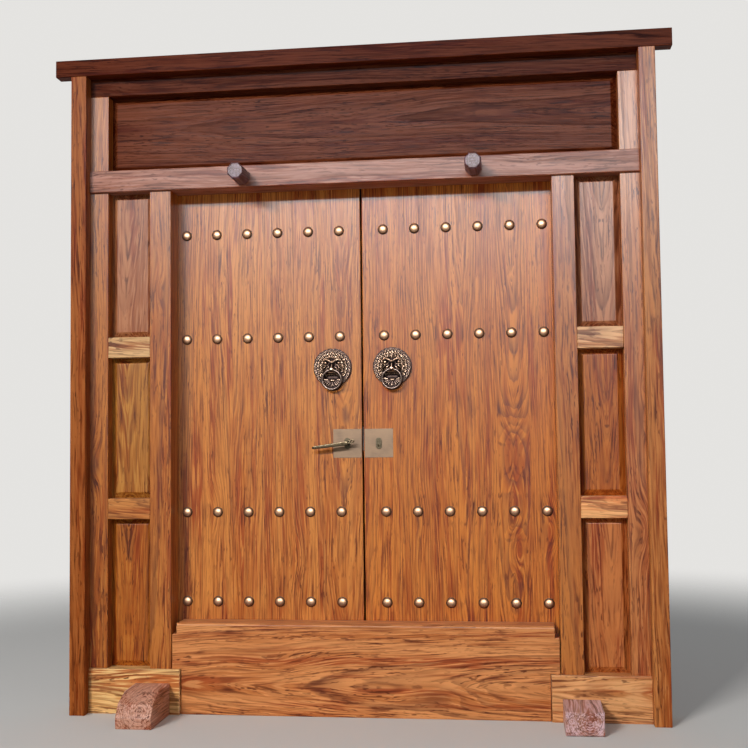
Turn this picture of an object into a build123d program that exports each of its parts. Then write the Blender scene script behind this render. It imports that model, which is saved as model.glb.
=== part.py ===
from build123d import *
import math
import os

# A two-leaf hall door of solid reddish hardwood, with its frame. Millimetres.
# X runs across the doorway with 0 on its centre line, +Y runs inwards through the doorway,
# Z is up from the ground, and Y = 0 is the front face of the upright stiles.

# Doorway and frame timbers
opening_width = 1560.0
frame_depth = 107.0
inner_stile_width = 88.0
side_panel_width = 179.0
outer_stile_reveal = 76.0
cross_proud = 14.0
bottom_rail_height = 180.0
bottom_rail_reach = 39.0
lower_side_rail_base = 783.0
upper_side_rail_base = 1447.0
side_rail_height = 85.0
lintel_base = 2138.0
lintel_height = 90.0
lintel_lap = 50.0
transom_height = 318.0
top_rail_reveal = 74.0

# Casing planted round the frame, its head longer than the frame is wide
casing_width = 65.0
casing_proud = 55.0
casing_head_height = 70.0
casing_ear = 67.0
casing_round = 3.0
arris = 2.0
fine = 0.01

# Raised panels, held by a tongue in grooves
groove_depth = 10.0
groove_width = 12.0
groove_setback = 54.0
field_setback = 40.0
field_margin = 24.0
panel_gap = 1.0

# Threshold board
threshold_height = 364.0
threshold_gap = 4.0
threshold_notch_width = 18.0
threshold_notch_height = 44.0
threshold_tongue_width = 20.0
threshold_tongue_length = 12.0
threshold_tongue_setback = 42.0
threshold_edge = 6.0

# Pier blocks that carry the lower pivots, and the iron cups let into them
block_width = 142.0
block_reach = 3.0
block_height = 125.0
block_rear_height = 160.0
block_rear_length = 97.0
left_nose_length = 248.0
left_nose_break = 126.0
left_nose_break_drop = 3.0
left_nose_shoulder = 33.0
left_nose_shoulder_height = 92.0
left_nose_cheek_height = 43.0
left_nose_foot_tuck = 4.0
left_nose_round = 16.0
right_nose_length = 213.0
right_nose_height = 89.0
right_nose_round = 12.0
cup_wall = 5.0
cup_height = 30.0
cup_floor = 6.0

# Leaves: boards glued edge to edge, hung on pintles turned on the hinge board
leaf_thickness = 50.0
leaf_gap = 2.0
leaf_clearance = 30.0
leaf_head_cover = 10.0
meeting_gap = 6.0
pivot_cover = 48.0
pintle_radius = 17.0
pintle_play = 0.08
board_columns = (1, 2, 1, 1, 1)
batten_height = 72.0
batten_thickness = 32.0
batten_inset = 34.0
batten_chamfer = 5.0

# Domed studs in four rows, clenched into the battens behind the boards
foot_row_rise = 73.0
low_row_rise = 367.0
high_row_rise = 135.0
top_row_drop = 173.0
stud_columns = 6
stud_meeting_margin = 92.0
stud_jamb_margin = 38.0
stud_radius = 21.5
stud_skirt = 3.0
stud_height = 15.0
stud_shank_radius = 3.0
stud_shank_length = 70.0

# Pivot rail behind the lintel, held by two octagonal pegs and their wedges
pivot_rail_height = 60.0
pivot_rail_depth = 83.0
pivot_rail_end = 70.0
pivot_rail_gap = 2.0
peg_spacing = 948.0
peg_across_flats = 65.0
peg_length = 115.0
peg_edge = 5.0
peg_tenon = 32.0
peg_tail = 46.0
wedge_thickness = 12.0
wedge_depth = 24.0
wedge_foot_depth = 14.0
wedge_rise = 42.0
wedge_clearance = 4.0

# Lion-mask knockers
knocker_spacing = 248.0
knocker_rise = 307.0
mask_radius = 80.0
mask_plate = 5.0
mask_rise = 6.0
curl_count = 16
curl_radius = 10.5
curl_inset = 12.0
inner_curl_count = 9
inner_curl_radius = 9.0
inner_curl_inset = 29.0
dome_radius = 70.0
dome_height = 22.0
brow_radius = 5.5
brow_length = 22.0
brow_lean = 62.0
mane_start = -40.0
mane_sweep = 260.0
eye_radius = 8.5
eye_spacing = 36.0
eye_rise = 6.0
eye_inset = 2.0
nose_radius = 10.0
nose_rise = 3.0
bridge_radius = 5.0
bridge_length = 30.0
nostril_radius = 6.5
nostril_spacing = 22.0
nostril_rise = 5.0
snout_radius = 10.5
snout_drop = 5.5
snout_width = 20.0
mouth_width = 36.0
mouth_height = 16.0
mouth_floor = 7.0
chin_cover = 5.5
chin_plate = 8.0
chin_rim = 4.0
beard_locks = 7
beard_lock_radius = 4.5
beard_lock_length = 22.0
beard_sweep = 150.0
ring_radius = 39.5
ring_bar_radius = 4.5
ring_play = 0.25
ring_standoff = 29.0
mask_shank_radius = 5.0
rivet_radius = 10.0
rivet_height = 4.0

# Lock plates, the lever latch in the left leaf and the cylinder lock in the right leaf
plate_size = 118.0
plate_thickness = 1.5
plate_margin = 3.0
plate_height = 1083.0
lock_setback = 62.0
escutcheon_width = 24.0
escutcheon_height = 46.0
escutcheon_thickness = 5.0
hub_radius = 9.0
hub_length = 44.0
lever_length = 145.0
lever_droop = 7.0
lever_root_height = 17.0
lever_tip_height = 12.0
lever_thickness = 9.0
scroll_reach = 36.0
scroll_radius = 8.0
scroll_eye_radius = 3.5
scroll_rise = 6.0
spindle_size = 8.0
spindle_reach = 30.0
hub_play = 0.08
bore_play = 1.5
case_length = 84.0
case_height = 72.0
case_offset = 19.0
case_thickness = 18.0
forend_thickness = 3.0
forend_width = 22.0
forend_margin = 12.0
latch_height = 14.0
latch_length = 34.0
latch_throw = 12.0
bolt_height = 18.0
bolt_length = 62.0
bolt_tail = 36.0
bolt_throw = 20.0
bolt_thickness = 10.0
bolt_play = 0.3
pocket_play = 1.5
pocket_gap = 2.0
cylinder_radius = 8.5
cylinder_web_width = 10.0
cylinder_height = 33.0
plug_radius = 6.5
plug_play = 0.06
cam_radius = 8.0
cam_play = 0.3
keyway_width = 2.0
keyway_height = 8.0
keyway_depth = 14.0

# Places worked out from the sizes above
jamb = opening_width / 2
jamb_outer = jamb + inner_stile_width
stile_inner = jamb_outer + side_panel_width
casing_inner = stile_inner + outer_stile_reveal
casing_outer = casing_inner + casing_width
lintel_top = lintel_base + lintel_height
transom_top = lintel_top + transom_height
casing_head_base = transom_top + top_rail_reveal
door_top = casing_head_base + casing_head_height
leaf_front = frame_depth + leaf_gap
leaf_back = leaf_front + leaf_thickness
leaf_bottom = block_rear_height + leaf_clearance
leaf_top = lintel_base + leaf_head_cover
pivot_x = jamb + pivot_cover
pivot_y = leaf_front + leaf_thickness / 2
pivot_rail_base = leaf_top + pivot_rail_gap
pivot_rail_top = pivot_rail_base + pivot_rail_height
pivot_rail_back = frame_depth + pivot_rail_depth
peg_height = (pivot_rail_base + pivot_rail_top) / 2
wedge_drop = peg_height - pivot_rail_base - wedge_clearance
meeting_edge = meeting_gap / 2
cup_radius = pintle_radius + pintle_play + cup_wall
block_inner = jamb + block_reach
block_back = frame_depth + block_rear_length
knocker_height = plate_height + knocker_rise
ring_pivot_height = knocker_height - snout_drop
ring_centre_height = ring_pivot_height - ring_radius
chin_radius = ring_radius + chin_cover
curl_ring = mask_radius - curl_inset
inner_curl_ring = mask_radius - inner_curl_inset
plate_inner = meeting_edge + plate_margin
lock_x = meeting_edge + lock_setback
case_mid = leaf_front + leaf_thickness / 2
case_front = case_mid - case_thickness / 2
case_back = case_mid + case_thickness / 2
forend_half = case_height / 2 + forend_margin
latch_z = plate_height - case_offset + forend_half + pocket_gap + latch_height / 2
bolt_z = plate_height + case_offset - forend_half - pocket_gap - bolt_height / 2
plug_z = plate_height - (escutcheon_height - escutcheon_width) / 2
trim_front = leaf_front - plate_thickness - escutcheon_thickness
cylinder_end = case_mid - bolt_thickness / 2 - cam_play
stud_pitch = (jamb - stud_jamb_margin - stud_meeting_margin) / (stud_columns - 1)
stud_xs = [stud_meeting_margin + k * stud_pitch for k in range(stud_columns)]
foot_row = threshold_height + foot_row_rise
stud_rows = (foot_row, foot_row + low_row_rise, knocker_height + high_row_rise, lintel_base - top_row_drop)


def block(x0, x1, y0, y1, z0, z1):
    """A plain squared timber between two corners, given in any order along X."""
    return Pos((x0 + x1) / 2, (y0 + y1) / 2, (z0 + z1) / 2) * Box(abs(x1 - x0), y1 - y0, z1 - z0)


def rod_y(x, z, radius, y0, y1):
    """A round bar along Y."""
    return Pos(x, (y0 + y1) / 2, z) * Rot(90, 0, 0) * Cylinder(radius, y1 - y0)


def rod_z(x, y, radius, z0, z1):
    """A round bar along Z."""
    return Pos(x, y, (z0 + z1) / 2) * Cylinder(radius, z1 - z0)


def slab_y(x, radius, y0, y1, z0, z1):
    """A squared block about x, as wide as twice the radius."""
    return block(x - radius, x + radius, y0, y1, z0, z1)


def groove(x0, x1, z0, z1):
    """The slot that takes a panel's tongue, at the one depth used all round the frame."""
    return block(x0, x1, groove_setback, groove_setback + groove_width, z0, z1)


def side_casing(side):
    strip = block(side * casing_inner, side * casing_outer, -casing_proud, 0, 0, casing_head_base)
    return fillet(strip.edges().filter_by(Axis.Z).group_by(Axis.Y)[0], casing_round)


def head_casing():
    reach = casing_outer + casing_ear
    strip = block(-reach, reach, -casing_proud, 0, casing_head_base, door_top)
    return fillet(strip.edges().filter_by(Axis.X).group_by(Axis.Y)[0], casing_round)


def outer_stile(side):
    stile = block(side * stile_inner, side * casing_outer, 0, frame_depth, bottom_rail_height, transom_top)
    stile -= block(side * stile_inner, side * casing_outer, 0, lintel_lap, lintel_base, lintel_top)
    reach = side * (stile_inner + groove_depth)
    return stile - groove(side * stile_inner, reach, bottom_rail_height, transom_top)


def inner_stile(side):
    stile = block(side * jamb, side * jamb_outer, 0, frame_depth, bottom_rail_height, lintel_base)
    front = stile.edges().filter_by(Axis.Z).group_by(Axis.Y)[0]
    stile = chamfer(min(front, key=lambda edge: abs(edge.center().X)), arris)
    stile -= groove(side * (jamb_outer - groove_depth), side * jamb_outer, bottom_rail_height, lintel_base)
    return stile - threshold_tongue(side)


def threshold_tongue(side):
    """The tongue at each end of the threshold, and so the housing for it in the jamb."""
    return block(
        side * (jamb - threshold_gap),
        side * (jamb + threshold_tongue_length),
        threshold_tongue_setback,
        threshold_tongue_setback + threshold_tongue_width,
        bottom_rail_height,
        threshold_height - threshold_notch_height,
    )


def top_rail():
    rail = block(-casing_outer, casing_outer, 0, frame_depth, transom_top, door_top)
    reach = stile_inner + groove_depth
    return rail - groove(-reach, reach, transom_top, transom_top + groove_depth)


def lintel():
    beam = block(-casing_inner, casing_inner, -cross_proud, 0, lintel_base, lintel_top)
    beam = chamfer(beam.edges().filter_by(Axis.X).group_by(Axis.Y)[0], arris)
    beam += block(-stile_inner, stile_inner, 0, frame_depth, lintel_base, lintel_top)
    beam += block(-casing_outer, casing_outer, 0, lintel_lap, lintel_base, lintel_top)
    beam -= groove(-stile_inner, stile_inner, lintel_top - groove_depth, lintel_top)
    for side in (-1, 1):
        beam -= groove(side * (jamb_outer - groove_depth), side * (stile_inner + groove_depth),
                       lintel_base, lintel_base + groove_depth)
        beam -= peg_hole(side)
    return beam


def peg_hole(side):
    """The square mortise through lintel and pivot rail that a peg's tenon fills."""
    half = peg_tenon / 2
    x = side * peg_spacing / 2
    return block(x - half, x + half, -cross_proud, pivot_rail_back, peg_height - half, peg_height + half)


def bottom_rail(side):
    inner = side * (jamb - bottom_rail_reach)
    rail = block(inner, side * casing_inner, -cross_proud, 0, 0, bottom_rail_height)
    rail = chamfer(rail.faces().sort_by(Axis.Y)[0].edges(), arris)
    rail += block(inner, side * casing_outer, 0, frame_depth, 0, bottom_rail_height)
    rail -= groove(side * (jamb_outer - groove_depth), side * (stile_inner + groove_depth),
                   bottom_rail_height - groove_depth, bottom_rail_height)
    height = block_height if side < 0 else right_nose_height
    block_outer = block_inner + block_width
    return rail - block(side * block_inner, side * block_outer, -cross_proud, frame_depth, 0, height)


def side_rail(side, base):
    """A short rail between the stiles, with a stub tenon in each stile's groove."""
    rail = block(side * jamb_outer, side * stile_inner, 0, frame_depth, base, base + side_rail_height)
    for z in (base, base + side_rail_height - groove_depth):
        rail -= groove(side * jamb_outer, side * stile_inner, z, z + groove_depth)
    low, high = base + groove_depth, base + side_rail_height - groove_depth
    for edge, way in ((jamb_outer, -1), (stile_inner, 1)):
        rail += groove(side * edge, side * (edge + way * groove_depth), low, high)
    return rail


def raised_panel(x0, x1, z0, z1):
    """A panel that fills the opening given: tongue, bevelled margin and raised field."""
    wide, tall = x1 - x0, z1 - z0
    centre = Pos((x0 + x1) / 2, 0, (z0 + z1) / 2)
    reach_x = wide / 2 + groove_depth
    reach_z = tall / 2 + groove_depth
    tongue = groove(-reach_x, reach_x, -reach_z, reach_z)
    foot = Plane((0, groove_setback, 0), x_dir=(1, 0, 0), z_dir=(0, -1, 0))
    crown = Plane((0, field_setback, 0), x_dir=(1, 0, 0), z_dir=(0, -1, 0))
    bevel = loft([
        foot * Rectangle(wide - 2 * panel_gap, tall - 2 * panel_gap),
        crown * Rectangle(wide - 2 * field_margin, tall - 2 * field_margin),
    ])
    return centre * (tongue + bevel)


def side_panel(side, z0, z1):
    low, high = sorted((side * jamb_outer, side * stile_inner))
    return raised_panel(low, high, z0, z1)


def threshold():
    board = block(-jamb + bottom_rail_reach + threshold_gap / 2, jamb - bottom_rail_reach - threshold_gap / 2,
                  0, frame_depth, 0, bottom_rail_height)
    reach = jamb - threshold_gap
    upper = block(-reach, reach, 0, frame_depth, bottom_rail_height, threshold_height)
    for side in (-1, 1):
        upper -= block(side * (reach - threshold_notch_width), side * reach, 0, frame_depth,
                       threshold_height - threshold_notch_height, threshold_height)
    crest = upper.edges().filter_by(Axis.X).group_by(Axis.Z)[-1].sort_by(Axis.Y)[0]
    board += chamfer(crest, threshold_edge)
    for side in (-1, 1):
        board += threshold_tongue(side)
    return board


def pier_block(side):
    """A block that runs under the bottom rail from its nose in front to the pivot behind."""
    if side < 0:
        under = block_height
        nose = [
            (-cross_proud - left_nose_break, block_height - left_nose_break_drop),
            (left_nose_shoulder - left_nose_length, left_nose_shoulder_height),
            (-left_nose_length, left_nose_cheek_height),
            (left_nose_foot_tuck - left_nose_length, 0),
        ]
    else:
        under = right_nose_height
        nose = [(-right_nose_length, right_nose_height), (-right_nose_length, 0)]
    outline = Polyline(
        (block_back, 0), (block_back, block_rear_height), (frame_depth, block_rear_height),
        (frame_depth, under), (-cross_proud, under), *nose, close=True
    )
    inner = min(side * block_inner, side * (block_inner + block_width))
    body = extrude(Plane.YZ.offset(inner) * make_face(outline), block_width)
    across = body.edges().filter_by(Axis.X).sort_by(Axis.Y)
    if side < 0:
        cheek = [e for e in across if abs(e.center().Z - left_nose_cheek_height) < fine]
        shoulder = [e for e in across if abs(e.center().Z - left_nose_shoulder_height) < fine]
        body = fillet(cheek + shoulder, left_nose_round)
    else:
        front = body.faces().sort_by(Axis.Y)[0]
        body = fillet(front.edges().filter_by(Axis.X).sort_by(Axis.Z)[0], right_nose_round)
        front = body.faces().sort_by(Axis.Y)[0]
        body = chamfer(front.edges().filter_by(Axis.Z), arris)
    base = block_rear_height - cup_height
    return body - rod_z(side * pivot_x, pivot_y, cup_radius, base, block_rear_height)


def pivot_cup(side):
    """An iron cup in the pier block, in which the leaf's lower pintle turns."""
    base = block_rear_height - cup_height
    cup = rod_z(side * pivot_x, pivot_y, cup_radius, base, block_rear_height)
    hollow = pintle_radius + pintle_play
    return cup - rod_z(side * pivot_x, pivot_y, hollow, base + cup_floor, block_rear_height)


def pivot_rail():
    reach = pivot_x + pivot_rail_end
    rail = block(-reach, reach, frame_depth, pivot_rail_back, pivot_rail_base, pivot_rail_top)
    for side in (-1, 1):
        rail -= rod_z(side * pivot_x, pivot_y, pintle_radius + pintle_play, pivot_rail_base, pivot_rail_top)
        rail -= peg_hole(side)
    return rail


def wedge(side):
    """An upright key through the peg's tail, tight against the back of the pivot rail."""
    outline = Polyline(
        (pivot_rail_back, -wedge_drop), (pivot_rail_back, wedge_rise),
        (pivot_rail_back + wedge_depth, wedge_rise), (pivot_rail_back + wedge_foot_depth, -wedge_drop),
        close=True
    )
    centre = Pos(side * peg_spacing / 2, 0, peg_height)
    key = extrude(Plane.YZ * make_face(outline), wedge_thickness / 2, both=True)
    return centre * key


def door_peg(side):
    """An octagonal head with a square tenon through lintel and pivot rail, slotted for its wedge."""
    x = side * peg_spacing / 2
    front = -cross_proud - peg_length
    face = Plane((x, -cross_proud, peg_height), x_dir=(1, 0, 0), z_dir=(0, -1, 0))
    octagon = RegularPolygon(peg_across_flats / 2, 8, major_radius=False, rotation=22.5)
    head = extrude(face * octagon, peg_length)
    head = chamfer(head.faces().sort_by(Axis.Y)[0].edges(), peg_edge)
    half = peg_tenon / 2
    tail = slab_y(x, half, front / 2, pivot_rail_back + peg_tail, peg_height - half, peg_height + half)
    return head + tail - wedge(side)


def leaf_edges():
    """The boards' edges, counted from the meeting edge: seams run halfway between stud columns."""
    edges = [meeting_edge]
    column = 0
    for count in board_columns[:-1]:
        column += count
        edges.append(stud_xs[column - 1] + stud_pitch / 2)
    return edges + [pivot_x]


def leaf_board(side, k):
    """One board of a leaf, counted from the meeting edge. The last one carries both pintles."""
    edges = leaf_edges()
    board = block(side * edges[k], side * edges[k + 1], leaf_front, leaf_back, leaf_bottom, leaf_top)
    if k == len(board_columns) - 1:
        board += rod_z(side * pivot_x, pivot_y, leaf_thickness / 2, leaf_bottom, leaf_top)
        cup_base = block_rear_height - cup_height + cup_floor
        board += rod_z(side * pivot_x, pivot_y, pintle_radius, cup_base, pivot_rail_top - pivot_rail_gap)
    if k == 0:
        upright = board.edges().filter_by(Axis.Z)
        board = chamfer([e for e in upright if abs(e.center().X) < meeting_edge + fine], arris)
        board -= rod_y(side * knocker_spacing / 2, knocker_height, mask_shank_radius, leaf_front, leaf_back)
        board -= lock_mortise(side)
    for x in stud_xs:
        if edges[k] < x < edges[k + 1]:
            for z in stud_rows:
                board -= rod_y(side * x, z, stud_shank_radius, leaf_front, leaf_back)
    return board


def battens(side):
    """Four battens across the back, one behind each row of studs."""
    bars = []
    for z in stud_rows:
        bar = block(side * (meeting_edge + batten_inset), side * (pivot_x - batten_inset), leaf_back,
                    leaf_back + batten_thickness, z - batten_height / 2, z + batten_height / 2)
        bar = chamfer(bar.faces().sort_by(Axis.Y)[-1].edges(), batten_chamfer)
        for x in stud_xs:
            bar -= rod_y(side * x, z, stud_shank_radius, leaf_back, leaf_front + stud_shank_length)
        bars.append(bar)
    return Compound(children=bars)


def stud_profile():
    """One domed stud about Z, its seat at 0 and its shank below."""
    crown = stud_height - stud_skirt
    dome = (stud_radius ** 2 + crown ** 2) / (2 * crown)
    half_turn = math.asin(stud_radius / dome) / 2
    middle = (dome * math.sin(half_turn), stud_height - dome + dome * math.cos(half_turn))
    outline = Curve() + [
        Line((0, -stud_shank_length), (stud_shank_radius, -stud_shank_length)),
        Line((stud_shank_radius, -stud_shank_length), (stud_shank_radius, 0)),
        Line((stud_shank_radius, 0), (stud_radius, 0)),
        Line((stud_radius, 0), (stud_radius, stud_skirt)),
        ThreePointArc((stud_radius, stud_skirt), middle, (0, stud_height)),
        Line((0, stud_height), (0, -stud_shank_length)),
    ]
    return revolve(Plane.XZ * make_face(outline), Axis.Z)


def studs(side):
    stud = Rot(90, 0, 0) * stud_profile()
    return Compound(children=[Pos(side * x, leaf_front, z) * stud for z in stud_rows for x in stud_xs])


def knocker_mask(side):
    """A cast lion mask: mane of curls, domed face, snout bored for the ring, open mouth, bearded chin."""
    def place(dx, out, dz):
        return Pos(side * knocker_spacing / 2 + dx, leaf_front - out, knocker_height + dz)

    chin_drop = ring_centre_height - knocker_height
    mask = place(0, mask_plate / 2, mask_rise) * Rot(90, 0, 0) * Cylinder(mask_radius, mask_plate)
    mask += place(0, chin_plate / 2, chin_drop) * Rot(90, 0, 0) * Cylinder(chin_radius, chin_plate)
    dome = place(0, dome_height - dome_radius, 0) * Sphere(dome_radius)
    mask += dome & place(0, dome_height / 2, 0) * Box(2 * mask_radius, dome_height, 2 * mask_radius)
    for count, ring, size in (
        (curl_count, curl_ring, curl_radius), (inner_curl_count, inner_curl_ring, inner_curl_radius)
    ):
        for k in range(count):
            turn = math.radians(mane_start + mane_sweep * k / (count - 1))
            curl = place(ring * math.cos(turn), mask_plate, mask_rise + ring * math.sin(turn)) * Sphere(size)
            mask += curl & place(0, size, mask_rise) * Box(4 * mask_radius, 2 * size, 4 * mask_radius)
    for way in (-1, 1):
        mask += place(way * eye_spacing / 2, dome_height - eye_inset, eye_rise) * Sphere(eye_radius)
        brow = Rot(0, way * brow_lean, 0) * Cylinder(brow_radius, brow_length)
        mask += place(way * eye_spacing / 2, dome_height, eye_rise + eye_radius + brow_radius) * brow
        mask += place(way * nostril_spacing / 2, dome_height, nostril_rise) * Sphere(nostril_radius)
    bridge = place(0, dome_height + bridge_radius / 2, bridge_length / 2)
    mask += bridge * Cylinder(bridge_radius, bridge_length)
    mask += place(0, ring_standoff - nose_rise, nose_rise) * Sphere(nose_radius)
    snout_z = ring_pivot_height - knocker_height
    snout = place(0, ring_standoff, snout_z) * Rot(0, 90, 0) * Cylinder(snout_radius, snout_width)
    neck = place(0, ring_standoff / 2, snout_z) * Box(snout_width, ring_standoff, 2 * snout_radius)
    mask += snout + neck
    mouth_z = snout_z - snout_radius - mouth_height / 2
    mask -= place(0, mouth_floor + ring_standoff / 2, mouth_z) * Box(mouth_width, ring_standoff, mouth_height)
    for k in range(beard_locks):
        turn = math.radians(beard_sweep * (k / (beard_locks - 1) - 0.5) - 90)
        reach = chin_radius - chin_rim - beard_lock_length / 2
        lock = Rot(0, 90 - math.degrees(turn), 0) * Cylinder(beard_lock_radius, beard_lock_length)
        mask += place(reach * math.cos(turn), chin_plate, chin_drop + reach * math.sin(turn)) * lock
    rim = Rot(90, 0, 0) * Torus(chin_radius - chin_rim, chin_rim)
    mask += place(0, chin_plate, chin_drop) * rim
    sag = ring_radius - math.sqrt(ring_radius ** 2 - (snout_width / 2) ** 2)
    bore = ring_bar_radius + sag + ring_play
    mask -= place(0, ring_standoff, snout_z) * Rot(0, 90, 0) * Cylinder(bore, mouth_width)
    x = side * knocker_spacing / 2
    mask -= slab_y(x, 2 * mask_radius, leaf_front, leaf_back + mask_radius,
                   knocker_height - 2 * mask_radius, knocker_height + 2 * mask_radius)
    mask += rod_y(x, knocker_height, mask_shank_radius, leaf_front, leaf_back)
    return mask + rod_y(x, knocker_height, rivet_radius, leaf_back, leaf_back + rivet_height)


def knocker_ring(side):
    ring = Rot(90, 0, 0) * Torus(ring_radius, ring_bar_radius)
    return Pos(side * knocker_spacing / 2, leaf_front - ring_standoff, ring_centre_height) * ring


def case_box(side):
    """The lock case with its forend, and so the mortise for it. The left one sits higher."""
    z_mid = plate_height - side * case_offset
    body = block(side * (meeting_edge + forend_thickness), side * (meeting_edge + case_length),
                 case_front, case_back, z_mid - case_height / 2, z_mid + case_height / 2)
    return body + block(side * meeting_edge, side * (meeting_edge + forend_thickness),
                        case_mid - forend_width / 2, case_mid + forend_width / 2,
                        z_mid - forend_half, z_mid + forend_half)


def bolt_bar(side, start, end, z0, z1, play=0.0):
    """A flat bar that slides in a case, measured from the leaf's edge, or with play the way for it."""
    return block(side * (meeting_edge + start), side * (meeting_edge + end + play),
                 case_mid - bolt_thickness / 2 - play, case_mid + bolt_thickness / 2 + play,
                 z0 - play, z1 + play)


def latch_bar(side, end, play=0.0):
    return bolt_bar(side, 0, end, latch_z - latch_height / 2, latch_z + latch_height / 2, play)


def deadbolt_bar(side, end, play=0.0):
    return bolt_bar(side, 0, end, bolt_z - bolt_height / 2, bolt_z + bolt_height / 2, play)


def deadbolt_tail(start, play=0.0):
    """The bolt's tail, which rises to just under the cam."""
    return bolt_bar(1, start, bolt_length, bolt_z, plug_z - cam_radius - cam_play - play, play)


def facing(x, y, z):
    """A plane across the doorway whose normal points out of the door's front."""
    return Plane((x, y, z), x_dir=(1, 0, 0), z_dir=(0, -1, 0))


def trim_plate(side, y0):
    """An upright oblong trim that stands on a plate or a board, its back at y0."""
    oblong = SlotOverall(escutcheon_height, escutcheon_width, rotation=90)
    return extrude(facing(side * lock_x, y0, plate_height) * oblong, escutcheon_thickness)


def barrel(y0, y1):
    """The lock cylinder's outline from y0 to y1: a round barrel with a narrower web above it."""
    web_radius = cylinder_web_width / 2
    reach = cylinder_height - cylinder_radius - web_radius
    outline = Circle(cylinder_radius) + Pos(0, reach / 2) * Rectangle(cylinder_web_width, reach)
    outline += Pos(0, reach) * Circle(web_radius)
    return extrude(facing(lock_x, y1, plug_z) * outline, y1 - y0)


def lock_mortise(side):
    """Everything that is cut from a meeting board for its own lock and for the other leaf's bolt."""
    if side < 0:
        bore = rod_y(side * lock_x, plate_height, hub_radius + bore_play, leaf_front, leaf_back)
        return case_box(side) + bore + deadbolt_bar(side, bolt_throw, pocket_play)
    return case_box(side) + barrel(leaf_front, case_front) + latch_bar(side, latch_throw, pocket_play)


def lock_plate(side):
    """A square plate of brushed steel on the leaf's face, close to the meeting edge."""
    front = leaf_front - plate_thickness
    plate = block(side * plate_inner, side * (plate_inner + plate_size), front, leaf_front,
                  plate_height - plate_size / 2, plate_height + plate_size / 2)
    if side < 0:
        return plate - rod_y(side * lock_x, plate_height, hub_radius + bore_play, front, leaf_front)
    return plate - barrel(front, leaf_front)


def lever_rosette():
    front = leaf_front - plate_thickness
    return trim_plate(-1, front) - rod_y(-lock_x, plate_height, hub_radius + hub_play, trim_front, front)


def lever_rosette_inner():
    back = leaf_back + escutcheon_thickness
    return trim_plate(-1, back) - rod_y(-lock_x, plate_height, hub_radius + hub_play, leaf_back, back)


def keyhole_escutcheon():
    front = leaf_front - plate_thickness
    return trim_plate(1, front) - barrel(trim_front, front)


def latch_case():
    """The mortised case in the left leaf, bored for the lever's hub and cut for the latch bolt."""
    case = case_box(-1) - rod_y(-lock_x, plate_height, hub_radius + hub_play, case_front, case_back)
    return case - latch_bar(-1, latch_length, bolt_play)


def latch_bolt():
    return latch_bar(-1, latch_length)


def lever_arm(y0):
    """The drooping arm with its scrolled tail, seen from the front, its back at y0."""
    tip = lever_tip_height / 2
    root = lever_root_height / 2
    eye_x = scroll_reach - scroll_radius
    bar = Polyline((0, root), (0, -root), (tip - lever_length, -tip), (tip - lever_length, tip), close=True)
    tail = Polyline(
        (0, root), (0, -root / 2), (eye_x, scroll_rise - scroll_radius / 2),
        (eye_x, scroll_rise + scroll_radius / 2), close=True
    )
    shape = make_face(bar) + Pos(tip - lever_length, 0) * Circle(tip)
    shape += make_face(tail) + Pos(eye_x, scroll_rise) * Circle(scroll_radius)
    shape -= Pos(eye_x, scroll_rise) * Circle(scroll_eye_radius)
    return extrude(facing(-lock_x, y0, plate_height) * (Rot(0, 0, lever_droop) * shape), lever_thickness)


def spindle(y0, y1):
    half = spindle_size / 2
    return slab_y(-lock_x, half, y0, y1, plate_height - half, plate_height + half)


def lever_handle():
    """The outer lever, its hub through the latch case, and the square spindle behind it."""
    front = leaf_front - plate_thickness - hub_length
    hub = rod_y(-lock_x, plate_height, hub_radius, front, case_back)
    return lever_arm(front + lever_thickness) + hub + spindle(case_back, leaf_back + spindle_reach)


def lever_inner():
    """The lever inside the door, pushed on the same spindle."""
    back = leaf_back + hub_length
    hub = rod_y(-lock_x, plate_height, hub_radius, case_back, back)
    return lever_arm(back) + hub - spindle(case_back, leaf_back + spindle_reach)


def lock_case():
    """The mortised case in the right leaf, cut for the cylinder, its cam and the deadbolt."""
    case = case_box(1) - barrel(case_front, cylinder_end)
    case -= rod_y(lock_x, plug_z, cam_radius + cam_play, cylinder_end, case_back - cam_play)
    case -= deadbolt_tail(bolt_length - bolt_tail - bolt_throw, bolt_play)
    return case - deadbolt_bar(1, bolt_length, bolt_play)


def deadbolt():
    """The bolt, drawn back until its nose is flush with the leaf's edge."""
    return deadbolt_bar(1, bolt_length) + deadbolt_tail(bolt_length - bolt_tail)


def cylinder():
    """The fixed body of the lock cylinder, from the escutcheon's face to the cam."""
    body = barrel(trim_front, cylinder_end)
    return body - rod_y(lock_x, plug_z, plug_radius + plug_play, trim_front, cylinder_end)


def cylinder_plug():
    """The plug that the key turns, with the keyway in its face and the cam on its inner end."""
    plug = rod_y(lock_x, plug_z, plug_radius, trim_front, cylinder_end + cam_play)
    plug += rod_y(lock_x, plug_z, cam_radius, cylinder_end + cam_play, case_mid + bolt_thickness / 2)
    return plug - slab_y(lock_x, keyway_width / 2, trim_front, trim_front + keyway_depth,
                         plug_z - keyway_height / 2, plug_z + keyway_height / 2)


panel_floors = (
    ("bottom", bottom_rail_height, lower_side_rail_base),
    ("middle", lower_side_rail_base + side_rail_height, upper_side_rail_base),
    ("top", upper_side_rail_base + side_rail_height, lintel_base),
)

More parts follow.
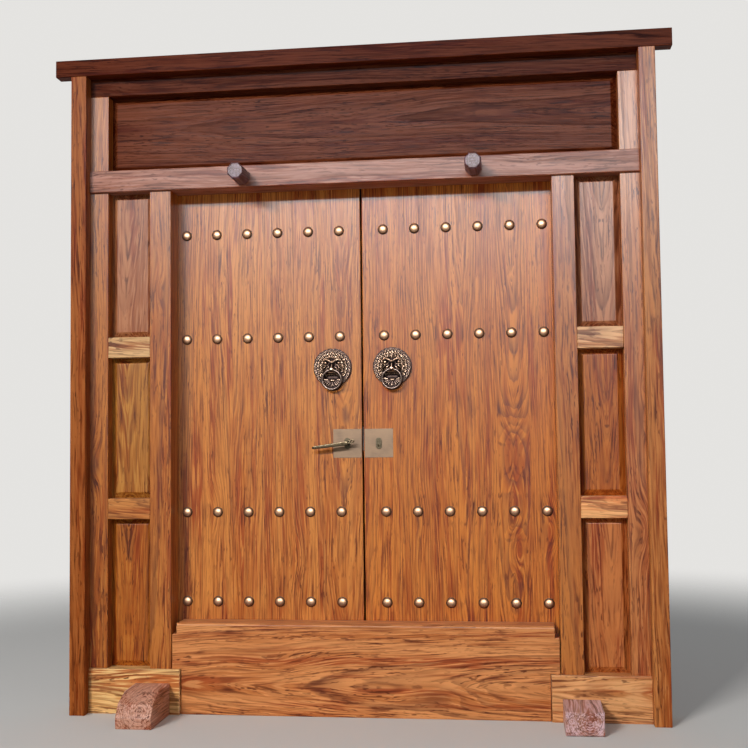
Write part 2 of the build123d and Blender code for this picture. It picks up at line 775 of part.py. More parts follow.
parts = {
    "casing_head": head_casing(),
    "top_rail": top_rail(),
    "lintel": lintel(),
    "transom_panel": raised_panel(-stile_inner, stile_inner, lintel_top, transom_top),
    "threshold_board": threshold(),
    "pivot_rail": pivot_rail(),
    "door_pegs": Compound(children=[door_peg(-1), door_peg(1)]),
    "peg_wedges": Compound(children=[wedge(-1), wedge(1)]),
    "pivot_cups": Compound(children=[pivot_cup(-1), pivot_cup(1)]),
    "latch_case": latch_case(),
    "latch_bolt": latch_bolt(),
    "lever_handle": lever_handle(),
    "lever_inner": lever_inner(),
    "lever_rosette": lever_rosette(),
    "lever_rosette_inner": lever_rosette_inner(),
    "lock_case": lock_case(),
    "deadbolt": deadbolt(),
    "cylinder": cylinder(),
    "cylinder_plug": cylinder_plug(),
    "keyhole_escutcheon": keyhole_escutcheon(),
}
for side, name in ((-1, "left"), (1, "right")):
    parts["casing_" + name] = side_casing(side)
    parts["outer_stile_" + name] = outer_stile(side)
    parts["inner_stile_" + name] = inner_stile(side)
    parts["bottom_rail_" + name] = bottom_rail(side)
    parts["lower_side_rail_" + name] = side_rail(side, lower_side_rail_base)
    parts["upper_side_rail_" + name] = side_rail(side, upper_side_rail_base)
    for floor, z0, z1 in panel_floors:
        parts[floor + "_side_panel_" + name] = side_panel(side, z0, z1)
    parts["pier_block_" + name] = pier_block(side)
    for k in range(len(board_columns)):
        parts["leaf_board_%s_%d" % (name, k + 1)] = leaf_board(side, k)
    parts["battens_" + name] = battens(side)
    parts["studs_" + name] = studs(side)
    parts["knocker_mask_" + name] = knocker_mask(side)
    parts["knocker_ring_" + name] = knocker_ring(side)
    parts["lock_plate_" + name] = lock_plate(side)

os.makedirs("parts", exist_ok=True)
for name, solid in parts.items():
    export_step(solid, "parts/%s.step" % name)
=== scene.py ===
import math

import bmesh
import bpy
import numpy as np
from mathutils import Matrix, Vector


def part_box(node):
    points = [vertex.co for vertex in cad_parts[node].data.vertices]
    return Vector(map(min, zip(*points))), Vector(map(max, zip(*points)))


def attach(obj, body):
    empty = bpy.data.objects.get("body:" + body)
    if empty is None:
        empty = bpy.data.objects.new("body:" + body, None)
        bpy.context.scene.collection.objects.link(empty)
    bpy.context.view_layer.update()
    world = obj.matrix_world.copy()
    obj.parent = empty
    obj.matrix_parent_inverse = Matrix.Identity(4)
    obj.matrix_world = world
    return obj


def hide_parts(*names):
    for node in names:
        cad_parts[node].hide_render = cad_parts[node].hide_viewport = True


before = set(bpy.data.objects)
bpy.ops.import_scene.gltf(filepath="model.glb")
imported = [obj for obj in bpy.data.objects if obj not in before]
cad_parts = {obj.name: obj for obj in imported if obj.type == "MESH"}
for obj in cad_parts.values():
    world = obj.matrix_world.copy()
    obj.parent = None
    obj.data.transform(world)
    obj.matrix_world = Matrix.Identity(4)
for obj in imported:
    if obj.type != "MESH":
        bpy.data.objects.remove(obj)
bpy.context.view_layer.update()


# Upright stiles. Planed hardwood posts, the outer pair against the wall and the inner pair as
# door jambs, grooved for the side panels and oiled with a satin varnish.
class Tone:
    """A number or colour that changes over a surface. Arithmetic on it adds Math nodes."""

    def __init__(self, finish, socket):
        self.finish = finish
        self.socket = socket

    def maths(self, operation, *values):
        return self.finish.node("ShaderNodeMath", {"operation": operation}, dict(enumerate(values)))

    def __add__(self, other):
        return self.maths("ADD", self, other)

    __radd__ = __add__

    def __sub__(self, other):
        return self.maths("SUBTRACT", self, other)

    def __rsub__(self, other):
        return self.maths("SUBTRACT", other, self)

    def __mul__(self, other):
        return self.maths("MULTIPLY", self, other)

    __rmul__ = __mul__

    def __truediv__(self, other):
        return self.maths("DIVIDE", self, other)

    def __pow__(self, other):
        return self.maths("POWER", self, other)

    def __rpow__(self, other):
        return self.maths("POWER", other, self)


# Blender's noise keeps within about 0.4 of its middle, and this factor spreads it to 1.
CLOUD_SPREAD = 2.6


class Finish:
    """The node tree of a new material, or of the world. node() adds any node and gives back one of
    its outputs."""

    def __init__(self, name, store=bpy.data.materials, end="ShaderNodeOutputMaterial"):
        self.material = store.new(name)
        self.material.use_nodes = True
        self.tree = self.material.node_tree
        self.tree.nodes.clear()
        self.end = end

    def node(self, kind, settings=None, sockets=None, output=0):
        """Adds a node of this type, with its settings first and then its sockets' values or links,
        and gives back the output that is wanted."""
        made = self.tree.nodes.new(kind)
        for key, value in (settings or {}).items():
            setattr(made, key, value)
        for key, value in (sockets or {}).items():
            if isinstance(value, Tone):
                self.tree.links.new(value.socket, made.inputs[key])
            else:
                made.inputs[key].default_value = value
        return Tone(self, made.outputs[output])

    def mix(self, share, first, second):
        """The first colour where share is 0 and the second where it is 1."""
        pair = [c if isinstance(c, Tone) else (*c, 1.0) for c in (first, second)]
        return self.node("ShaderNodeMix", {"data_type": "RGBA"}, {0: share, 6: pair[0], 7: pair[1]}, 2)

    def step(self, value, low, high):
        """0 below low and 1 above high, with a smooth rise between them."""
        return self.node("ShaderNodeMapRange", {"interpolation_type": "SMOOTHSTEP"},
                         {0: value, 1: low, 2: high})

    def noise(self, place, lump, detail, seed):
        """Cloudy noise from -1 to 1, whose lumps have the given size in metres on each axis."""
        moved = self.node("ShaderNodeVectorMath", {"operation": "MULTIPLY_ADD"},
                          {0: place, 1: tuple(1 / size for size in lump),
                           2: (seed, 2 * seed, 3 * seed)})
        cloud = self.node("ShaderNodeTexNoise", None,
                          {"Vector": moved, "Scale": 1.0, "Detail": detail})
        return (cloud - 0.5) * CLOUD_SPREAD

    def surface(self, height, depth, **sockets):
        """The Principled surface, with height (0 to 1) as a relief of the given depth in metres."""
        relief = self.node("ShaderNodeBump", None,
                           {"Strength": 1.0, "Distance": depth, "Height": height})
        values = {key.replace("_", " "): value for key, value in sockets.items()}
        return self.show(self.node("ShaderNodeBsdfPrincipled", None, {**values, "Normal": relief}))

    def show(self, shader):
        out = self.tree.nodes.new(self.end)
        self.tree.links.new(shader.socket, out.inputs["Surface"])
        return self.material


# The axes that lie across, behind and along the grain, and each tone's share of the wood's colour.
GRAIN_AXES = {"X": (2, 1, 0), "Y": (0, 2, 1), "Z": (0, 1, 2)}
PALE_SHARE, RED_SHARE, DARK_SHARE = (1.50, 2.1, 3.2), (0.82, 0.55, 0.50), (0.20, 0.09, 0.04)
# The lumps of the grain's noises across, behind and along it, the large ones first.
DRIFT, WANDER, SHIVER = (0.35, 0.35, 0.9), (0.09, 0.09, 0.45), (0.018, 0.018, 0.09)
BAND, BLUSH, PATCH, BREAK = (0.06, 0.06, 1.2), (0.04, 0.04, 0.7), (0.035, 0.035, 0.25), (0.02, 0.02, 0.16)
STREAK, HAIR, DASH = (0.012, 0.012, 0.6), (0.0066, 0.0066, 0.15), (0.0056, 0.0046, 0.036)
# How far the first three push the growth rings aside, and how much longer than wide a knot is.
DRIFT_PUSH, WANDER_PUSH, SHIVER_PUSH = 0.022, 0.013, 0.0024
KNOT_STRETCH, GRAIN_RELIEF = 3.2, 0.0004


def finished(mesh, name, node, body, material):
    """The mesh as a piece of the door in the CAD node's stead."""
    mesh.materials.append(material)
    piece = bpy.data.objects.new(name, mesh)
    bpy.context.scene.collection.objects.link(piece)
    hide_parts(node)
    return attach(piece, body)


def timber(name, grain, middle, body, pith, ring, lean, knots, seed, gloss=0.36, sheen=0.15):
    """Sawn and varnished hardwood. The growth rings are cylinders about the log's heart, one ring's
    width apart. The heart runs along the grain at pith (across the face, and behind it) from the
    piece's middle and leans into it, so the faces show straight lines, arches or rings as sawn wood
    does. Knots push the rings aside: each is (across, along, radius, push). body is the wood's main
    colour, and its pale, red and dark tones are shares of it."""
    finish = Finish(name)
    spot = finish.node("ShaderNodeTexCoord", None, None, 3)
    centred = finish.node("ShaderNodeMapping", None,
                          {"Vector": spot, "Location": tuple(-value for value in middle)})
    parts = [finish.node("ShaderNodeSeparateXYZ", None, {0: centred}, axis)
             for axis in GRAIN_AXES[grain]]
    across, depth, along = parts
    place = finish.node("ShaderNodeCombineXYZ", None, dict(enumerate(parts)))
    drift = finish.noise(place, DRIFT, 1.0, seed)
    wander = finish.noise(place, WANDER, 2.0, seed + 3)
    shiver = finish.noise(place, SHIVER, 2.0, seed + 5)
    side = across - pith[0] + drift * DRIFT_PUSH
    back = depth - pith[1] + along * lean + wander * WANDER_PUSH
    radius = (side * side + back * back) ** 0.5 + shiver * SHIVER_PUSH
    for knot_across, knot_along, size, push in knots:
        reach = (across - knot_across) * (across - knot_across) / size ** 2
        reach = reach + (along - knot_along) * (along - knot_along) / (KNOT_STRETCH * size) ** 2
        radius = radius + math.e ** (reach * -1.0) * push
    # Each year's ring darkens towards its late wood, by a share of its own.
    rings = radius / ring + wander * 0.5
    turn = rings.maths("FRACT", rings)
    year = rings.maths("FLOOR", rings)
    weight = finish.node("ShaderNodeTexWhiteNoise", {"noise_dimensions": "1D"}, {"W": year + seed * 7})
    broken = finish.step(finish.noise(place, BREAK, 2.0, seed + 17), -0.8, 0.4)
    late = turn ** 1.5 * finish.step(turn, 1.0, 0.88) * (weight * weight * 0.85 + 0.15)
    late = late * (broken * 0.6 + 0.4)
    # Fibres and pores are noises drawn out along the grain, and they follow the rings.
    thread = finish.node("ShaderNodeCombineXYZ", None,
                         {0: radius + side.maths("ABSOLUTE", side) * 0.6, 1: depth, 2: along})
    streak = finish.noise(thread, STREAK, 3.0, seed + 7)
    hair = finish.noise(thread, HAIR, 1.0, seed + 9)
    dash = finish.step(finish.noise(thread, DASH, 1.0, seed + 13), 0.2, 0.5)
    patch = finish.step(finish.noise(place, PATCH, 2.0, seed + 19), -0.4, 0.6)
    bands = finish.noise(place, BAND, 2.0, seed + 11)
    blush = finish.noise(place, BLUSH, 2.0, seed + 15)
    # The tones lie over each other: bands, a red blush, pale and dark fibres, late wood, pores.
    pale, red, dark = (tuple(min(tone * part, 0.9) for tone, part in zip(body, share))
                       for share in (PALE_SHARE, RED_SHARE, DARK_SHARE))
    colour = finish.mix(finish.step(bands + streak * 0.6, -0.6, 0.6), pale, body)
    colour = finish.mix(finish.step(blush + hair * 0.3, -0.1, 0.6), colour, red)
    colour = finish.mix(finish.step(hair, -0.05, -0.4) * 0.85, colour, pale)
    colour = finish.mix(finish.step(hair, 0.05, 0.45) * (patch * 0.55 + 0.35), colour, dark)
    colour = finish.mix(late * 0.95, colour, dark)
    colour = finish.mix(dash * (patch * 0.8 + 0.1), colour, dark)
    rough = gloss + 0.05 * streak + 0.12 * late
    height = 0.6 + hair * 0.08 - late * 0.25 - dash * 0.25
    return finish.surface(height, GRAIN_RELIEF, Base_Color=colour, Roughness=rough,
                          Specular_IOR_Level=sheen)


# Edges sharper than SHARP are rounded over, and faces flatter than FLAT to each other are one.
SHARP, FLAT, WELD = math.radians(28), math.radians(1), 1e-5


def eased(node, body, round_over, material, only=None):
    """The node's own faces with every edge rounded over, or only those that a test picks. A flat
    face keeps one normal to its border, and the rounded strips turn from one face to the next."""
    shape = bmesh.new()
    shape.from_mesh(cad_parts[node].data)
    bmesh.ops.remove_doubles(shape, verts=shape.verts, dist=WELD)
    bmesh.ops.dissolve_limit(shape, angle_limit=FLAT, verts=shape.verts, edges=shape.edges)
    shape.normal_update()
    arrises = [edge for edge in shape.edges
               if edge.calc_face_angle(0) > SHARP and (only is None or only(edge))]
    rounded = bmesh.ops.bevel(shape, geom=arrises, offset=round_over, offset_type="OFFSET",
                              segments=2, profile=0.5, affect="EDGES", clamp_overlap=True)
    strips = set(rounded["faces"])
    shape.normal_update()
    normals = []
    for face in shape.faces:
        face.smooth = True
        for corner in face.loops:
            flats = [near for near in corner.vert.link_faces if near not in strips]
            if face not in strips:
                flats = [near for near in flats if near.normal.angle(face.normal, 0) < SHARP]
            shares = [near.normal * near.calc_area() for near in flats or corner.vert.link_faces]
            normals.append(sum(shares, Vector()).normalized())
    mesh = bpy.data.meshes.new(node + "_eased")
    shape.to_mesh(mesh)
    shape.free()
    mesh.normals_split_custom_set(normals)
    return finished(mesh, node + "_eased", node, body, material)


def middle_of(node):
    low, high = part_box(node)
    return (low + high) / 2


# Each stile's colour, rounding, seed and knots.
STILE_WOOD = {
    "outer_stile_left": ((0.33, 0.080, 0.009), 0.0018, 1.0, ((0.01, -0.35, 0.03, 0.03),)),
    "outer_stile_right": ((0.37, 0.098, 0.019), 0.0018, 3.0,
                          ((-0.01, -0.62, 0.035, 0.04), (0.02, -0.2, 0.03, 0.03))),
    "inner_stile_left": ((0.34, 0.084, 0.010), 0.003, 5.0, ((0.0, 0.55, 0.02, 0.02),)),
    "inner_stile_right": ((0.33, 0.078, 0.010), 0.003, 7.0, ()),
}
for node, (colour, round_over, seed, knots) in STILE_WOOD.items():
    way = 1 if node.endswith("right") else -1
    pith = (0.07 * way, 0.12)
    wood = timber(node, "Z", middle_of(node), colour, pith, 0.012, 0.02, knots, seed, sheen=0.19)
    eased(node, "frame", round_over, wood)


# Bottom rails and side rails. Short cross timbers between the stiles, the bottom pair notched
# over the pier blocks and standing proud of the frame.
# Each rail's colour and slot.
RAIL_WOOD = {
    "bottom_rail_left": ((0.64, 0.28, 0.075), "frame_wood"),
    "bottom_rail_right": ((0.51, 0.185, 0.050), "frame_wood"),
    "lower_side_rail_left": ((0.40, 0.12, 0.022), "pale_wood"),
    "lower_side_rail_right": ((0.72, 0.225, 0.060), "pale_wood"),
    "upper_side_rail_left": ((0.45, 0.195, 0.057), "pale_wood"),
    "upper_side_rail_right": ((0.54, 0.225, 0.075), "pale_wood"),
}
for seed, (node, (colour, slot)) in enumerate(RAIL_WOOD.items(), 11):
    wood = timber(node, "X", middle_of(node), colour, (0.03, 0.1), 0.010, 0.06, (), float(seed))
    eased(node, "frame", 0.003, wood)


# Side panels. Raised panels with bevelled margins, which stand loose by their tongues in the
# grooves of stiles and rails. The upper ones are darker and greyer than the lower ones.
PANEL_WOOD = {
    "bottom_side_panel_left": (0.33, 0.078, 0.007),
    "bottom_side_panel_right": (0.37, 0.088, 0.015),
    "middle_side_panel_left": (0.34, 0.106, 0.013),
    "middle_side_panel_right": (0.34, 0.075, 0.008),
    "top_side_panel_left": (0.31, 0.09, 0.025),
    "top_side_panel_right": (0.33, 0.098, 0.030),
}
for seed, (node, colour) in enumerate(PANEL_WOOD.items(), 21):
    pith = (0.02 * (-1) ** seed, 0.07)
    wood = timber(node, "Z", middle_of(node), colour, pith, 0.011, 0.06, (), float(seed))
    eased(node, "frame", 0.0015, wood)


# Threshold board. A high board on edge across the doorway, tongued into the jambs so that it
# lifts out, with a rounded crest and notches at its upper corners.
THRESHOLD_KNOTS = ((0.03, -0.35, 0.05, 0.03), (-0.09, 0.3, 0.05, 0.03))
wood = timber("threshold_board", "X", middle_of("threshold_board"), (0.46, 0.135, 0.030),
              (-0.06, 0.1), 0.014, 0.07, THRESHOLD_KNOTS, 31.0)
eased("threshold_board", "frame", 0.003, wood)


# Transom panel and top rail. One long raised panel over the lintel, and the rail above it that
# closes the frame. Both are of darker red-brown wood, and their colours are darkened further as
# painted shade from the eaves over the doorway.
wood = timber("transom_panel", "X", middle_of("transom_panel"), (0.115, 0.021, 0.005),
              (0.02, 0.09), 0.014, 0.03, (), 34.0, gloss=0.25, sheen=0.009)
eased("transom_panel", "frame", 0.002, wood)
wood = timber("top_rail", "X", middle_of("top_rail"), (0.085, 0.015, 0.004),
              (0.05, 0.12), 0.012, 0.02, (), 36.0, sheen=0.01)
eased("top_rail", "frame", 0.003, wood)


# Lintel. The palest timber, half-lapped over the outer stiles and proud of them, with square
# mortises for the two door pegs.
wood = timber("lintel", "X", middle_of("lintel"), (0.29, 0.09, 0.04),
              (0.05, 0.1), 0.012, 0.015, (), 41.0, sheen=0.09)
eased("lintel", "frame", 0.003, wood)


# Casing. Three boards planted round the frame against the wall; the head runs on past the sides
# in short ears.
# Each board's colour and sheen. The head's near-black colour is partly its wood and partly
# painted shade from the eaves over the doorway.
CASING_WOOD = {
    "casing_left": ((0.25, 0.054, 0.008), 0.04), "casing_right": ((0.36, 0.095, 0.016), 0.12),
    "casing_head": ((0.085, 0.013, 0.003), 0.01),
}
for seed, (node, (colour, sheen)) in enumerate(CASING_WOOD.items(), 44):
    grain = "X" if node == "casing_head" else "Z"
    wood = timber(node, grain, middle_of(node), colour, (0.05, 0.1), 0.011, 0.02, (), float(seed),
                  sheen=sheen)
    eased(node, "frame", 0.0015, wood)


# Pier blocks. Stout blocks that run under the bottom rails from a rounded nose in front to the
# pivot behind. The grain runs front to back, so the noses show worn end grain.
BLOCK_WOOD = {"pier_block_left": (0.42, 0.16, 0.075), "pier_block_right": (0.47, 0.23, 0.16)}
for seed, (node, colour) in enumerate(BLOCK_WOOD.items(), 51):
    wood = timber(node, "Y", middle_of(node), colour, (0.02, -0.03), 0.008, 0.03, (), float(seed))
    eased(node, "frame", 0.0025, wood)


# Pivot cups. Two cups of black iron, let into the pier blocks from above. The leaves' lower
# pintles turn in them.
def metal(name, light, dark, grime_size, roughness, relief, metallic=1.0, brushed=None, dark_rim=None):
    """Worn metal: the light colour on open faces, the dark one in blotches of grime. brushed, a lump
    size on each axis, gives fine lines drawn along one way. dark_rim is the pair of places along Y
    between which the colour rises from a near-black rim, painted shade, to the metal's own."""
    finish = Finish(name)
    spot = finish.node("ShaderNodeTexCoord", None, None, 3)
    grime = finish.noise(spot, (grime_size,) * 3, 3.0, 5.0)
    fine = finish.noise(spot, brushed or (grime_size / 8,) * 3, 2.0, 9.0)
    colour = finish.mix(finish.step(grime + fine * 0.5, -0.5, 0.9), light, dark)
    # Up to the first place the rim is painted near black as shade, and by the second the metal's colour
    # is back.
    if dark_rim:
        height = finish.node("ShaderNodeSeparateXYZ", None, {0: spot}, 1)
        colour = finish.mix(finish.step(height, *dark_rim), tuple(0.25 * part for part in dark), colour)
    return finish.surface(0.5 + fine * 0.3 + grime * 0.2, relief, Base_Color=colour, Metallic=metallic,
                          Roughness=roughness + 0.07 * fine + 0.06 * grime)


iron = metal("black_iron", (0.09, 0.08, 0.075), (0.04, 0.03, 0.025), 0.008, 0.5, 0.0003)
eased("pivot_cups", "frame", 0.0008, iron)


# Pivot rail, door pegs and wedges. The rail behind the lintel is bored for the upper pintles and
# hangs on two octagonal pegs, whose tails are keyed with wedges.
wood = timber("pivot_rail", "X", middle_of("pivot_rail"), (0.30, 0.09, 0.025),
              (0.05, 0.1), 0.008, 0.02, (), 55.0)
eased("pivot_rail", "frame", 0.003, wood)
PEG_RADIUS = 0.0325
peg_low, peg_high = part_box("door_pegs")
peg_heart = (peg_low.x + PEG_RADIUS, 0, (peg_low.z + peg_high.z) / 2)
wood = timber("door_pegs", "Y", peg_heart, (0.14, 0.06, 0.05), (0.006, 0.004), 0.0045, 0.0, (), 57.0)
eased("door_pegs", "frame", 0.0012, wood)
wood = timber("peg_wedges", "Z", middle_of("peg_wedges"), (0.42, 0.15, 0.04),
              (0.03, 0.05), 0.006, 0.0, (), 59.0)
eased("peg_wedges", "frame", 0.001, wood)


# Leaf boards. Five boards glued edge to edge in each leaf, the first at the meeting edge, whose
# edge face is painted near black as the shade in the gap between the leaves, and the last turned
# to pintles at the jamb. Each comes from another part of the log.
LEAF_COLOUR = {"left": (0.43, 0.112, 0.014), "right": (0.43, 0.102, 0.010)}
# Each board's pith, ring width, lean and knots.
BOARD_CUTS = {
    "left": (
        ((0.0, 0.085), 0.008, 0.05, ((0.005, 0.05, 0.03, 0.02),)),
        ((0.16, 0.09), 0.010, 0.02, ((0.02, -0.55, 0.035, 0.03),)),
        ((-0.09, 0.08), 0.008, 0.03, ()),
        ((0.12, 0.10), 0.009, 0.03, ((-0.01, -0.35, 0.03, 0.03),)),
        ((-0.10, 0.11), 0.008, 0.03, ()),
    ),
    "right": (
        ((-0.11, 0.10), 0.009, 0.02, ()),
        ((0.14, 0.09), 0.010, 0.03, ((-0.05, -0.4, 0.03, 0.02),)),
        ((-0.10, 0.08), 0.008, 0.02, ()),
        ((0.0, 0.075), 0.010, 0.06, ((0.0, -0.12, 0.05, 0.05), (0.005, -0.52, 0.03, 0.04))),
        ((0.10, 0.10), 0.009, 0.03, ((0.0, -0.45, 0.03, 0.04),)),
    ),
}
# The rounding of the leaves' meeting arrises, the slack with which an edge lies on the front face,
# and how squarely a face must look over the gap to take the painted shade of the gap.
MEETING_ROUND, FRONT_SLACK, MEETING_FACE = 0.005, 1e-4, 0.8
SIDES = ((-1, "left"), (1, "right"))


def at_meeting_arris(edge):
    """True for a front edge of the leaf where the two leaves meet."""
    return all(abs(end.co.x) < MEETING_ROUND and abs(end.co.y - leaf_face) < FRONT_SLACK
               for end in edge.verts)


leaf_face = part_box("leaf_board_left_2")[0].y
# The meeting faces are painted near black and without gloss, as the shade inside the gap between the
# leaves, mottled a little.
gap_shade = Finish("painted_gap_shade")
spot = gap_shade.node("ShaderNodeTexCoord", None, None, 3)
gap_mottle = gap_shade.noise(spot, (0.01, 0.01, 0.1), 2.0, 3.0)
tone = gap_shade.mix(gap_shade.step(gap_mottle, 0.0, 1.0), (0.040, 0.016, 0.009), (0.060, 0.026, 0.014))
gap_shade_finish = gap_shade.surface(0.5 + gap_mottle * 0.2, 0.0002, Base_Color=tone, Roughness=0.9,
                              Specular_IOR_Level=0.0)
for way, side in SIDES:
    for k, (pith, ring, lean, knots) in enumerate(BOARD_CUTS[side], 1):
        node = "leaf_board_%s_%d" % (side, k)
        low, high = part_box(node)
        middle = ((low.x + high.x) / 2, leaf_face, (low.z + high.z) / 2)
        wood = timber(node, "Z", middle, LEAF_COLOUR[side], pith, ring, lean, knots,
                      60.0 + 10 * way + k, sheen=0.18)
        if k == 1:
            mesh = eased(node, "leaf_" + side, MEETING_ROUND, wood, at_meeting_arris).data
            mesh.materials.append(gap_shade_finish)
            normals = np.zeros(3 * len(mesh.polygons))
            mesh.polygons.foreach_get("normal", normals)
            meeting = -way * normals[::3] > MEETING_FACE
            mesh.polygons.foreach_set("material_index", meeting.astype(np.int32))
        else:
            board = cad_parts[node]
            board.data.materials.clear()
            board.data.materials.append(wood)


# Battens. Four bars across the back of each leaf, which hold its five boards together. The studs'
# shanks are driven through the boards into them.
for way, side in SIDES:
    node = "battens_" + side
    wood = timber(node, "X", middle_of(node), LEAF_COLOUR[side], (0.04, 0.12), 0.009, 0.02, (),
                  82.0 + way)
    eased(node, "leaf_" + side, 0.002, wood)


# Studs. Domed nails of burnished bronze with a rolled rim, driven through the boards into the
# battens, four rows of six on each leaf.
# Points of the new surfaces that are closer than this are one.
WELD_GRIDS = 2e-6


def surface_mesh(name, grids, material, body, node):
    """One piece from grids of points (rows, columns, 3) that close on themselves along the columns.
    Each first and last row is a single point or is closed by welding, so the shell has no hole."""
    shape = bmesh.new()
    for points in grids:
        rows, columns = points.shape[:2]
        index = np.arange(rows * columns).reshape(rows, columns)
        ahead = np.roll(index, -1, axis=1)
        quads = np.stack([index[:-1], ahead[:-1], ahead[1:], index[1:]], axis=-1).reshape(-1, 4)
        part = bpy.data.meshes.new("part")
        part.from_pydata(points.reshape(-1, 3).tolist(), [], quads.tolist())
        shape.from_mesh(part)
        bpy.data.meshes.remove(part)
    bmesh.ops.remove_doubles(shape, verts=shape.verts, dist=WELD_GRIDS)
    bmesh.ops.recalc_face_normals(shape, faces=shape.faces)
    for face in shape.faces:
        face.smooth = True
    mesh = bpy.data.meshes.new(name)
    shape.to_mesh(mesh)
    shape.free()
    return finished(mesh, name, node, body, material)


def turned(profile, centre, axis, columns):
    """A profile of (radius, height) points carried round an axis through centre: each point goes
    round a circle of its radius, at its height along the axis. The circle's two directions are
    square to the axis and to each other."""
    radius, height = np.array(profile, float).T
    turn = np.linspace(0, 2 * np.pi, columns, endpoint=False)
    axis = np.array(axis, float)
    first = np.cross(axis, (0.31, 0.17, 0.93))
    first /= np.linalg.norm(first)
    second = np.cross(axis, first)
    circle = np.outer(np.cos(turn), first) + np.outer(np.sin(turn), second)
    return np.array(centre) + height[:, None, None] * axis + radius[:, None, None] * circle


# The studs' rims and the feet of their domes are painted near black as shade; the crowns keep the
# bronze's colour.
bronze_stud = metal("burnished_bronze", (0.36, 0.215, 0.13), (0.22, 0.11, 0.06), 0.006, 0.44, 0.0002,
                    dark_rim=(leaf_face - 0.004, leaf_face - 0.0125))
STUD_PITCH, STUD_FIRST, STUD_COLUMNS = 0.130, 0.092, 6
STUD_ROWS = (0.437, 0.804, 1.525, 1.965)
DOME_RADIUS, DOME_FOOT, DOME_RISE = 0.0195, 0.0035, 0.0115
RIM_RADIUS, SHANK_RADIUS, SHANK_LENGTH = 0.0215, 0.003, 0.07
# The profile runs from the crown over the dome and the rolled rim to the shank's end.
dome = [(DOME_RADIUS * math.sin(t * math.pi / 2), DOME_FOOT + DOME_RISE * math.cos(t * math.pi / 2))
        for t in np.linspace(0, 1, 12)]
rolled_rim = [(0.0197, 0.0026), (0.0206, 0.0030), (0.0213, 0.0022), (RIM_RADIUS, 0.0010),
              (RIM_RADIUS, 0.0)]
shank = [(SHANK_RADIUS, 0.0), (SHANK_RADIUS, -SHANK_LENGTH), (0.0, -SHANK_LENGTH)]
for way, side in SIDES:
    places = [(way * (STUD_FIRST + k * STUD_PITCH), leaf_face, z)
              for z in STUD_ROWS for k in range(STUD_COLUMNS)]
    studs = [turned(dome + rolled_rim + shank, place, (0, -1, 0), 32) for place in places]
    surface_mesh("domed_studs_" + side, studs, bronze_stud, "leaf_" + side, "studs_" + side)


# Lock plates. Square plates of brushed stainless steel on both leaves at the meeting edge, under
# the lever's rosette and the keyhole escutcheon.
PLATE_BRUSHING = (0.03, 0.0008, 0.0006)
plate_metal = metal("brushed_plate", (0.145, 0.090, 0.052), (0.080, 0.050, 0.030), 0.05, 0.42, 0.00008,
                    0.7, PLATE_BRUSHING)
for side in ("left", "right"):
    eased("lock_plate_" + side, "leaf_" + side, 0.0004, plate_metal)


# Lever set and keyhole. Cast zinc rosettes, the outer lever with two curls at its root, the inner
# lever on the same spindle, the escutcheon, and the lock cylinder with its plug. Their dull nickel
# skin has gone olive.
lever_metal = metal("dull_nickel", (0.085, 0.064, 0.038), (0.020, 0.013, 0.007), 0.006, 0.3, 0.00015)
trim_metal = metal("olive_trim", (0.070, 0.056, 0.036), (0.028, 0.020, 0.012), 0.006, 0.4, 0.00015)
for node in ("lever_rosette", "lever_rosette_inner"):
    eased(node, "leaf_left", 0.0012, trim_metal)
eased("keyhole_escutcheon", "leaf_right", 0.0012, trim_metal)
eased("cylinder", "leaf_right", 0.0004, trim_metal)
eased("cylinder_plug", "plug", 0.0004, lever_metal)


def swept(path, half_width, half_depth, power, columns=24):
    """A bar along a flat path of (across, up) points. At each point its section is an ellipse, or
    with a power under 1 an ellipse swollen towards its box, square to the path."""
    path = np.array(path, float)
    run = np.gradient(path, axis=0)
    run /= np.linalg.norm(run, axis=1, keepdims=True)
    turn = np.linspace(0, 2 * np.pi, columns, endpoint=False)
    wide, deep = (np.sign(part) * np.abs(part) ** power for part in (np.cos(turn), np.sin(turn)))
    half_width, half_depth = half_width[:, None], half_depth[:, None]
    return np.stack([path[:, :1] - run[:, 1:] * half_width * wide, half_depth * deep,
                     path[:, 1:] + run[:, :1] * half_width * wide], axis=-1)


LEVER_X, LEVER_Z = middle_of("lever_rosette").x, middle_of("lever_rosette").z
LEVER_DROOP, LEVER_FOOT = math.radians(7), 0.0045
HUB_RADIUS, SPINDLE_RADIUS = 0.0088, 0.0055
# The arm runs left from its start near the hub's middle, and its last part closes to a round tip.
ARM_START, ARM_LENGTH, ARM_TIP = 0.004, 0.148, 0.08
ARM_HALF_WIDTH, ARM_TAPER, ARM_HALF_DEPTH = 0.0084, 0.0025, 0.0043
rise = np.linspace(0, 1, 30)
tip = np.sqrt(np.clip(1 - np.clip((rise - (1 - ARM_TIP)) / ARM_TIP, 0, 1) ** 2, 0, 1))
arm_path = np.stack([ARM_START - rise * ARM_LENGTH, 0 * rise], axis=1)
arm = swept(arm_path, (ARM_HALF_WIDTH - ARM_TAPER * rise) * tip, ARM_HALF_DEPTH * tip, 0.35)
